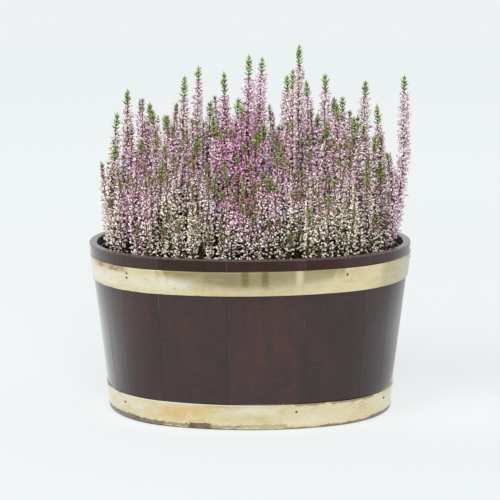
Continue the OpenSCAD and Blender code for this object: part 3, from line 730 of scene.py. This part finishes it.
# Shoots that close the gap between two plants at the back
for side in (-1, 1):
    for y, z in ((0.1000, 0.282), (0.0830, 0.300), (0.0660, 0.316)):
        for off in (-0.0056, 0.0056):
            shoots["centre" if off < 0 else ("left" if side < 0 else "right")].append((side * (border(y) + off), y, z + look.normal(0, 0.008), "edge"))
print("SHOOTS", added, {side: len(shoots[side]) for side in SIDES}, flush=True)


def pinkness(x, y, z):
    """From 0 (cream) to 1 (deep pink): creamy low at the front, pinkest left of the middle and higher up."""
    front = np.clip((-y - 0.02) / 0.08, 0, 1)
    low = np.clip((0.300 - z) / 0.075, 0, 1)
    cream = np.exp(-((x + 0.076) / 0.038) ** 2) + np.exp(-((x - 0.095) / 0.055) ** 2) + 0.75 * np.exp(-((x + 0.178) / 0.016) ** 2) + 0.15
    deep = np.exp(-((x + 0.016) / 0.046) ** 2) * np.clip((z - 0.222) / 0.040, 0.25, 1) + 0.45 * np.exp(-((x + 0.137) / 0.022) ** 2) + 0.38 * np.exp(-((x - 0.085) / 0.04) ** 2) + 0.5 * np.exp(-((x - 0.182) / 0.014) ** 2)
    return np.clip(0.42 + 0.42 * deep - 0.78 * np.clip(cream, 0, 1) * low * (0.35 + 0.65 * front), 0, 1)


def grow(side):
    """All the shoots of one potted plant: the bells of the near and far half, and everything green, as three meshes."""
    bells = {"front": Heap(), "back": Heap()}
    greens = Heap()
    look = np.random.default_rng({"left": 11, "centre": 22, "right": 33}[side])
    pot_x = SIDES[side]
    for x, y, top, kind in shoots[side]:
        rel = np.array([x - pot_x, y])
        base = rel * min(0.62, 0.040 / max(np.linalg.norm(rel), 1e-6)) + look.normal(0, 0.003, 2)
        z0 = 0.1195
        k = 26
        s = np.linspace(0, 1, k)
        power = look.uniform(3.1, 4.0)
        h = 1 - (1 - s) ** power
        path = np.empty((k, 3))
        path[:, 0] = pot_x + base[0] + (rel[0] - base[0]) * h
        path[:, 1] = base[1] + (rel[1] - base[1]) * h
        path[:, 2] = z0 + (top - z0) * s
        bow = look.normal(0, 0.0030, 2)
        turn = look.uniform(0, 6.28)
        path[:, 0] += bow[0] * np.sin(s * 5.2 + turn) * s * 1.5
        path[:, 1] += bow[1] * np.sin(s * 5.2 + turn) * s * 1.5
        if kind == "fill":
            path[:, 0] += look.normal(0.0, 0.0045) * s ** 2
            path[:, 1] += look.normal(0.0, 0.0055) * s ** 2
        need = np.interp(path[:, 2], [0.0, 0.205, 0.255, 0.34], [0.0245, 0.0240, 0.0140, 0.0060] if kind == "tall" else [0.0245, 0.0245, 0.0212, 0.0140])
        for _ in range(3):
            path = push_in(path, need)
            path = keep_column(path, side, 0.0043)
        smooth = path.copy()
        smooth[1:-1] = (path[:-2] + 2 * path[1:-1] + path[2:]) / 4
        path = smooth
        step = np.linalg.norm(np.diff(path, axis=0), axis=1)
        length = np.concatenate([[0], np.cumsum(step)])
        total = length[-1]
        tang = np.gradient(path, axis=0)
        tang /= np.linalg.norm(tang, axis=1, keepdims=True)

        def spot(d):
            d = np.clip(d, 0, total)
            p = np.stack([np.interp(d, length, path[:, i]) for i in range(3)], 1)
            t = np.stack([np.interp(d, length, tang[:, i]) for i in range(3)], 1)
            return p, t / np.linalg.norm(t, axis=1, keepdims=True)

        tall = kind in ("tall", "slim")
        fresh = kind == "tall" or look.random() < (0.45 if tall else 0.13)
        green = look.uniform(0.017, 0.026) if kind == "tall" else look.uniform(0.006, 0.013)
        shoot_only = not tall and look.random() < 0.05
        if shoot_only:
            green, fresh = look.uniform(0.026, 0.042), True
        stem = np.interp(s, [0, 0.5, 1], [0.00105, 0.00078, 0.00042])
        tube(greens, path, stem, TWIG, look.uniform(0.2, 0.9), 4)

        # depth in the bush: shoots well inside carry bells only where they can be seen
        inner = depth(x, y, 0.211)
        low_z = np.interp(inner, [0.027, 0.040, 0.10], [0.199, 0.212, 0.244]) + look.normal(0, 0.006)
        start = np.interp(low_z, path[:, 2], length)
        bud_len = look.uniform(0.002, 0.005) if tall else look.uniform(0.006, 0.012)
        end = total - green
        bell_end = end - bud_len
        girth = look.uniform(0.86, 1.12)

        # leaves on the lower stem
        d = np.arange(np.interp(0.150 if inner < 0.045 else 0.190, path[:, 2], length), start + 0.034, 0.0033)
        if len(d):
            n = 3
            p, t = spot(np.repeat(d, n))
            t, a, b = frames(t)
            ang = look.uniform(0, 2 * math.pi, len(p))
            out = a * np.cos(ang)[:, None] + b * np.sin(ang)[:, None]
            lean = look.uniform(0.7, 1.3, len(p))[:, None]
            along = t * np.cos(lean) + out * np.sin(lean)
            greens.stamp(LEAF, hold(p + out * 0.0006, along, 0.0060, side), along, ang, look.uniform(0.0040, 0.0072, len(p)), 0.00090, np.where(look.random(len(p)) < 0.8, LEAF_GREEN, TWIG), look.random(len(p)))

        # bells in loose whorls, on stalks of two lengths
        gap = 0.0026 if tall else 0.0032
        d = np.arange(start, max(bell_end, start), gap)
        if len(d) and not (shoot_only and len(d) < 4):
            per = 9 if tall else 7
            dd = np.repeat(d, per) + look.normal(0, 0.0009, len(d) * per)
            frac = (dd - start) / max(bell_end - start, 1e-6)
            crowd = 1.0 if tall or inner < 0.060 else 0.86
            keep = look.random(len(dd)) < crowd * np.interp(frac, [0, 0.30, 0.80, 1], [0.50, 0.88, 0.98, 0.96 if tall else 0.75])
            p, t = spot(dd)
            thin = np.exp(-((p[:, 0] - 0.050) / 0.055) ** 2) * np.clip((0.258 - p[:, 2]) / 0.030, 0, 1) * (p[:, 1] < -0.03)
            keep &= look.random(len(dd)) > (0.0 if kind == "edge" else 0.42) * thin
            p, t = p[keep], t[keep]
            frac = frac[keep]
            t, a, b = frames(t)
            ang = (np.repeat(np.arange(len(d)) * 2.4, per) + np.tile(np.arange(per) * 2 * math.pi / per, len(d)))[keep] + look.normal(0, 0.25, len(p))
            out = a * np.cos(ang)[:, None] + b * np.sin(ang)[:, None]
            lift = np.where(look.random(len(p)) < 0.78, look.uniform(0.50, 1.30, len(p)), look.uniform(1.3, 2.1, len(p)))[:, None]
            if tall:
                lift = lift * 0.85 + 0.30
            along = t * np.cos(lift) + out * np.sin(lift)
            size = np.interp(frac, [0, 0.7, 1], [1.04, 1.0, 0.80]) * look.uniform(0.80, 1.14, len(p)) * (1.16 if tall else 1.0)
            spread = {"tall": 1.14, "slim": 1.08, "edge": 1.20}.get(kind, 1.04)
            stalk = np.interp(frac, [0, 0.70, 1], [0.0046, 0.0042, 0.0034 if tall else 0.0027]) * girth * spread * look.uniform(0.04, 1.0, len(p)) ** 1.25 + 0.0006
            pink = pinkness(p[:, 0], p[:, 1], p[:, 2]) + look.normal(0, 0.16, len(p)) + look.normal(0, 0.05) - (0.10 if tall else 0.0)
            band = np.select([pink < 0.22, pink < 0.52, pink < 0.84], [PETAL_CREAM, PETAL_PALE, PETAL_PINK], PETAL_DEEP)
            foot = hold(p + out * stalk[:, None] + t * (stalk * 0.35)[:, None], along, 0.0046 * size, side)
            front = foot[:, 1] < 0.004
            tone, spin = look.random(len(p)), look.uniform(0, 6.28, len(p))
            for half, pick in (("front", front), ("back", ~front)):
                bells[half].stamp(BELL, foot[pick], along[pick], spin[pick], (0.0046 * size)[pick], (0.00098 * size)[pick], band[pick], tone[pick])
            # bracts and short leaves between the bells
            pick = look.random(len(p)) < 0.17
            q, tt, oo = p[pick], t[pick], out[pick]
            if len(q):
                tilt = look.uniform(0.45, 1.15, len(q))[:, None]
                lean = tt * np.cos(tilt) + oo * np.sin(tilt)
                greens.stamp(LEAF, hold(q + oo * 0.0004, lean, 0.0048, side), lean, look.uniform(0, 6.28, len(q)), look.uniform(0.0030, 0.0052, len(q)), 0.00056, np.where(look.random(len(q)) < 0.66, TWIG, LEAF_GREEN), look.random(len(q)))

        # closed buds above the bells
        d = np.arange(max(bell_end, start), end, 0.0021)
        if len(d):
            dd = np.repeat(d, 4)
            p, t = spot(dd)
            t, a, b = frames(t)
            ang = np.repeat(np.arange(len(d)) * 1.1, 4) + np.tile(np.arange(4) * 2 * math.pi / 4, len(d)) + look.normal(0, 0.2, len(dd))
            out = a * np.cos(ang)[:, None] + b * np.sin(ang)[:, None]
            tilt = look.uniform(0.6, 1.25, len(dd))[:, None]
            lean = t * np.cos(tilt) + out * np.sin(tilt)
            greens.stamp(LEAF, hold(p + out * 0.0005, lean, 0.0040, side), lean, ang, look.uniform(0.0028, 0.0044, len(dd)), look.uniform(0.0006, 0.0010, len(dd)), np.where(look.random(len(dd)) < 0.6, BUD, PETAL_PALE), look.random(len(dd)))

        # the leafy tip: small upright twigs in four ranks, each with its own scale leaves
        rows = max(3, int(green / 0.0036))
        d = end + (np.arange(rows) + 0.1) / rows * green * 0.90
        dd = np.repeat(d, 4)
        p, t = spot(dd)
        t, a, b = frames(t)
        ang = np.repeat(np.arange(rows) * (math.pi / 4), 4) + np.tile(np.arange(4) * math.pi / 2, rows) + look.normal(0, 0.15, len(dd))
        out = a * np.cos(ang)[:, None] + b * np.sin(ang)[:, None]
        frac = np.repeat((d - end) / green, 4)
        size = np.interp(frac, [0, 0.35, 1.0], [0.90, 1.0, 0.55]) * (1.0 if kind == "tall" else 0.75)
        tilt = np.interp(frac, [0, 1], [0.80, 0.42])[:, None] * look.uniform(0.8, 1.25, len(dd))[:, None]
        along = t * np.cos(tilt) + out * np.sin(tilt)
        twig = 0.0088 * size * look.uniform(0.75, 1.15, len(dd))
        p = hold(p, along, twig, side)
        green_band = np.full(len(dd), TIP_GREEN) if fresh else np.where(look.random(len(dd)) < 0.55, TIP_GREEN, BUD)
        tone = np.clip(look.normal(0.50 if fresh else 0.20, 0.28, len(dd)), 0, 1)
        greens.stamp(LEAF, p, along, ang, twig, 0.00095 * size, green_band, tone)
        tip_p, tip_t = spot(np.array([total - 0.0020]))
        greens.stamp(LEAF, tip_p, tip_t, np.zeros(1), 0.0050, 0.0009, green_band[:1], np.array([0.7]))
        if fresh:
            # pairs of scale leaves along each twig
            _, ta, tb = frames(along)
            for share, turn_by in ((0.28, 0.0), (0.55, 1.57)):
                side_dir = ta * np.cos(ang + turn_by)[:, None] + tb * np.sin(ang + turn_by)[:, None]
                mid = p + along * (twig * share)[:, None]
                for sign in (1, -1):
                    greens.stamp(LEAF, mid, along + side_dir * 0.55 * sign, ang, twig * 0.38, 0.00062 * size, green_band, tone)
    return bells, greens


plant_mat = plant_material()
counts = {}


def plant_piece(name, heap, side):
    verts, faces, uv = np.vstack(heap.v), np.vstack(heap.f), np.vstack(heap.uv)
    counts[name] = len(faces)
    piece = make_piece(name, verts, faces, plant_mat, uv)
    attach(piece, "plant_" + side)
    return piece


for side in SIDES:
    bells, greens = grow(side)
    plant_piece(f"heather_bells_front_{side}", bells["front"], side)
    plant_piece(f"heather_bells_back_{side}", bells["back"], side)
    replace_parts(plant_piece(f"heather_leaves_{side}", greens, side), "heather_" + side)
print("HEATHER", counts, flush=True)


# ---------------------------------------------------------------- the compost
def lumps(x, y, seed):
    """A few waves of different lengths, for an uneven surface."""
    look = np.random.default_rng(seed)
    z = np.zeros_like(x)
    for scale, height in ((60, 0.0012), (130, 0.0009), (280, 0.0007), (520, 0.0004)):
        for _ in range(3):
            a = look.uniform(0, 6.28)
            z += height * np.sin(scale * (x * math.cos(a) + y * math.sin(a)) + look.uniform(0, 6.28)) / 1.7
    return z


def pebble():
    """A rough crumb with twenty faces."""
    g = (1 + 5 ** 0.5) / 2
    v = np.array([(-1, g, 0), (1, g, 0), (-1, -g, 0), (1, -g, 0), (0, -1, g), (0, 1, g), (0, -1, -g), (0, 1, -g), (g, 0, -1), (g, 0, 1), (-g, 0, -1), (-g, 0, 1)], float)
    f = np.array([(0, 11, 5), (0, 5, 1), (0, 1, 7), (0, 7, 10), (0, 10, 11), (1, 5, 9), (5, 11, 4), (11, 10, 2), (10, 7, 6), (7, 1, 8), (3, 9, 4), (3, 4, 2), (3, 2, 6), (3, 6, 8), (3, 8, 9), (4, 9, 5), (2, 4, 11), (6, 2, 10), (8, 6, 7), (9, 8, 1)])
    return v / np.linalg.norm(v[0]), f


def compost(side, seed):
    look = np.random.default_rng(seed)
    lo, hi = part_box("compost_" + side)
    x0 = (lo[0] + hi[0]) / 2
    r_top, z_top, z_low = (hi[0] - lo[0]) / 2 - 0.0006, hi[2] - 0.0022, lo[2] + 0.0008
    r_low = r_top - (z_top - z_low) * 16.0 / 112.0
    turns, rings = 72, 22
    ang = np.arange(turns) * 2 * math.pi / turns
    v = [[x0, 0, z_top]]
    for i in range(1, rings + 1):
        r = r_top * i / rings
        v += [[x0 + r * math.cos(a), r * math.sin(a), z_top] for a in ang]
    v = np.array(v)
    v[:, 2] += lumps(v[:, 0], v[:, 1], seed)
    skirt = np.stack([x0 + r_low * np.cos(ang), r_low * np.sin(ang), np.full(turns, z_low)], 1)
    v = np.vstack([v, skirt, [[x0, 0, z_low]]])
    f = []
    for j in range(turns):
        m = (j + 1) % turns
        f.append((0, 1 + j, 1 + m))
        for i in range(rings - 1):
            p, q = 1 + i * turns + j, 1 + i * turns + m
            r, s = p + turns, q + turns
            f += [(p, r, s), (p, s, q)]
        p, q = 1 + (rings - 1) * turns + j, 1 + (rings - 1) * turns + m
        r, s = p + turns, q + turns
        f += [(p, r, s), (p, s, q), (r, len(v) - 1, s)]
    vs, fs, n = [v], [np.array(f)], len(v)
    pv, pf = pebble()
    for _ in range(330):
        a, r = look.uniform(0, 6.28), (r_top - 0.004) * math.sqrt(look.random())
        size = look.uniform(0.0009, 0.0026)
        c = np.array([x0 + r * math.cos(a), r * math.sin(a), 0.0])
        c[2] = z_top + lumps(c[0:1], c[1:2], seed)[0] + size * 0.2
        w = pv * look.uniform(0.6, 1.15, (len(pv), 1)) * size * np.array([1.15, 0.95, 0.75]) + c
        vs.append(w)
        fs.append(pf + n)
        n += len(w)
    return np.vstack(vs), np.vstack(fs)


soil_mat = soil()
for i, side in enumerate(SIDES):
    v, f = compost(side, 50 + i)
    piece = make_piece("compost_surface_" + side, v, f, soil_mat)
    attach(piece, "plant_" + side)
    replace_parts(piece, "compost_" + side)


# ------------------------------------------------------------------ the stage
def card(name, corners, mat, hidden=False):
    me = bpy.data.meshes.new(name)
    me.from_pydata(corners, [], [(0, 1, 2, 3)])
    me.materials.append(mat)
    o = bpy.data.objects.new(name, me)
    scene.collection.objects.link(o)
    if hidden:
        o.visible_camera = False
        o.visible_shadow = False
        o.visible_diffuse = False
    return o


def floor_material():
    mat = bpy.data.materials.new("pale_floor")
    mat.use_nodes = True
    g = Graph(mat.node_tree)
    out = g.new("ShaderNodeOutputMaterial")
    dif = g.new("ShaderNodeBsdfDiffuse")
    g.put(dif.inputs["Color"], (0.225, 0.234, 0.237))
    em = g.new("ShaderNodeEmission")
    near = g.span(g.axis(g.place(), "Y"), 0.45, -0.45)
    glow = g.mix(near, (0.636, 0.660, 0.667), (0.580, 0.604, 0.610))
    x, y = g.axis(g.place(), "X"), g.axis(g.place(), "Y")
    away = g.math("SQRT", g.math("ADD", g.math("MULTIPLY", x, x), g.math("MULTIPLY", y, y)))
    eye = g.new("ShaderNodeLightPath").outputs["Is Camera Ray"]
    glow = g.mix(g.math("MULTIPLY", g.span(away, 0.3, 2.6), eye), glow, (0.689, 0.719, 0.726))
    # painted light: a camera-only glow on the floor to the right of the tub lifts the shadow there
    shade = g.math("MULTIPLY", g.span(g.math("ABSOLUTE", g.math("SUBTRACT", x, 0.245)), 0.15, 0.02), g.span(g.math("ABSOLUTE", g.math("ADD", y, 0.02)), 0.20, 0.02))
    g.put(em.inputs["Color"], g.mix(g.math("MULTIPLY", shade, eye), glow, (0.050, 0.050, 0.050), "ADD"))
    add = g.new("ShaderNodeAddShader")
    g.tree.links.new(dif.outputs[0], add.inputs[0])
    g.tree.links.new(em.outputs[0], add.inputs[1])
    g.tree.links.new(add.outputs[0], out.inputs["Surface"])
    return mat


card("floor", [(-8, -8, 0), (8, -8, 0), (8, 8, 0), (-8, 8, 0)], floor_material())


def flag_material():
    """A dark card lying in front of the set, below the picture, that only the polished surfaces see."""
    mat = bpy.data.materials.new("dark_flag")
    mat.use_nodes = True
    g = Graph(mat.node_tree)
    out = g.new("ShaderNodeOutputMaterial")
    at = g.place()
    x, y = g.axis(at, "X"), g.axis(at, "Y")
    bent = g.math("SUBTRACT", y, g.math("MULTIPLY", g.math("MULTIPLY", x, x), 0.50))
    edge = g.math("MULTIPLY", g.span(bent, -0.520, -0.538), g.span(g.math("ABSOLUTE", x), 0.50, 0.40))
    run = g.math("MULTIPLY", g.math("ADD", y, 0.14), -1.0)

    def bar(start, slope, half, soft):
        """A strip that leaves the hoop at start and runs out at slope; soft is the width of its fade."""
        off = g.math("ABSOLUTE", g.math("SUBTRACT", x, g.math("ADD", g.math("MULTIPLY", run, slope), start)))
        return g.span(off, half + soft, half)

    fade = g.math("ADD", 0.64, g.math("MULTIPLY", bar(-0.006, -0.040, 0.011, 0.010), 0.20))
    fade = g.math("ADD", fade, g.math("MULTIPLY", bar(0.018, 0.125, 0.009, 0.010), 0.26))
    fade = g.math("MULTIPLY", fade, g.math("SUBTRACT", 1.0, bar(0.0588, 0.435, 0.008, 0.014)))
    fade = g.math("MULTIPLY", fade, edge, clamp=True)
    fade = g.math("MAXIMUM", fade, g.math("MULTIPLY", g.span(y, -0.43, -0.52), 0.14))
    # the card glows faintly gold: a painted reflection colour for the brass
    em = g.new("ShaderNodeEmission")
    g.put(em.inputs["Color"], (0.150, 0.130, 0.030))
    clear = g.new("ShaderNodeBsdfTransparent")
    mixer = g.new("ShaderNodeMixShader")
    g.put(mixer.inputs[0], fade)
    g.tree.links.new(clear.outputs[0], mixer.inputs[1])
    g.tree.links.new(em.outputs[0], mixer.inputs[2])
    g.tree.links.new(mixer.outputs[0], out.inputs["Surface"])
    return mat


def side_flag_material():
    """A grey net on the floor to the right of the tub, which dims what its right end reflects."""
    mat = bpy.data.materials.new("side_flag")
    mat.use_nodes = True
    g = Graph(mat.node_tree)
    out = g.new("ShaderNodeOutputMaterial")
    at = g.place()
    x, y = g.axis(at, "X"), g.axis(at, "Y")
    fade = g.math("MULTIPLY", g.math("MULTIPLY", g.span(x, 0.20, 0.26), g.span(y, -0.12, 0.02)), g.span(x, 0.50, 0.30, 0.30, 0.45))
    em = g.new("ShaderNodeEmission")
    g.put(em.inputs["Color"], (0.055, 0.055, 0.055))
    clear = g.new("ShaderNodeBsdfTransparent")
    mixer = g.new("ShaderNodeMixShader")
    g.put(mixer.inputs[0], fade)
    g.tree.links.new(clear.outputs[0], mixer.inputs[1])
    g.tree.links.new(em.outputs[0], mixer.inputs[2])
    g.tree.links.new(mixer.outputs[0], out.inputs["Surface"])
    return mat


card("flag_side", [(0.20, -0.12, 0.002), (1.6, -0.12, 0.002), (1.6, 1.2, 0.002), (0.20, 1.2, 0.002)], side_flag_material(), hidden=True)
card("flag_floor", [(-0.9, -1.8, 0.002), (0.9, -1.8, 0.002), (0.9, -0.42, 0.002), (-0.9, -0.42, 0.002)], flag_material(), hidden=True)


def build_world():
    world = bpy.data.worlds.new("studio")
    scene.world = world
    world.use_nodes = True
    g = Graph(world.node_tree)
    out = g.new("ShaderNodeOutputWorld")
    d = g.new("ShaderNodeTexCoord").outputs["Generated"]
    x, y, z = (g.axis(d, a) for a in "XYZ")
    seen = g.ramp(g.span(z, -0.05, 0.35), [(0.0, (0.850, 0.884, 0.892)), (1.0, (0.831, 0.871, 0.871))])
    top = g.span(z, -0.1, 0.75)
    front = g.math("MULTIPLY", g.span(y, -0.55, -0.97), g.span(z, 0.45, 0.05))
    side = g.mix(top, (0.80, 0.82, 0.83), (0.98, 0.99, 1.00))
    flank = g.math("MULTIPLY", g.span(g.math("ABSOLUTE", x), 0.45, 0.78), g.span(y, -0.25, 0.25))
    flank = g.math("MULTIPLY", flank, g.math("MULTIPLY", g.span(z, 0.55, 0.15), g.span(z, -0.45, -0.10)))
    side = g.mix(g.math("MULTIPLY", flank, 0.9), side, (2.3, 2.33, 2.36))
    light = g.mix(g.math("MULTIPLY", front, 0.62), side, (0.10, 0.10, 0.105))
    path = g.new("ShaderNodeLightPath")
    soft = g.mix(top, (0.42, 0.42, 0.41), (0.64, 0.65, 0.65))
    light = g.mix(path.outputs["Is Diffuse Ray"], light, soft)
    bg = g.new("ShaderNodeBackground")
    g.put(bg.inputs["Color"], g.mix(path.outputs["Is Camera Ray"], light, seen))
    g.tree.links.new(bg.outputs[0], out.inputs["Surface"])


build_world()


def area(name, at, to, size, power, colour=(1, 1, 1)):
    data = bpy.data.lights.new(name, "AREA")
    data.shape = "RECTANGLE"
    data.size, data.size_y = size
    data.energy = power
    data.color = colour
    o = bpy.data.objects.new(name, data)
    scene.collection.objects.link(o)
    o.location = at
    o.rotation_mode = "QUATERNION"
    o.rotation_quaternion = (Vector(to) - Vector(at)).to_track_quat("-Z", "Y")
    return o


area("key", (-1.6, -1.6, 2.2), (0, 0, 0.2), (1.6, 1.6), 50.0)
area("front", (0.35, -2.5, 1.9), (0, 0, 0.27), (1.2, 0.9), 42.0)

# ----------------------------------------------------------------- the camera
cam_data = bpy.data.cameras.new("camera")
cam = bpy.data.objects.new("camera", cam_data)
scene.collection.objects.link(cam)
scene.camera = cam
cam_data.sensor_width = 36.0
cam_data.lens = 118.8
cam_data.dof.use_dof = False
cam.location = (0.0, -2.028, 0.567)
aim = Vector((0.0, 0.0, 0.1969)) - Vector(cam.location)
turn = aim.to_track_quat("-Z", "Y").to_matrix().to_4x4()
cam.rotation_mode = "QUATERNION"
cam.rotation_quaternion = (turn @ Matrix.Rotation(math.radians(-0.10), 4, "Z")).to_quaternion()
cam_data.clip_start, cam_data.clip_end = 0.05, 60.0
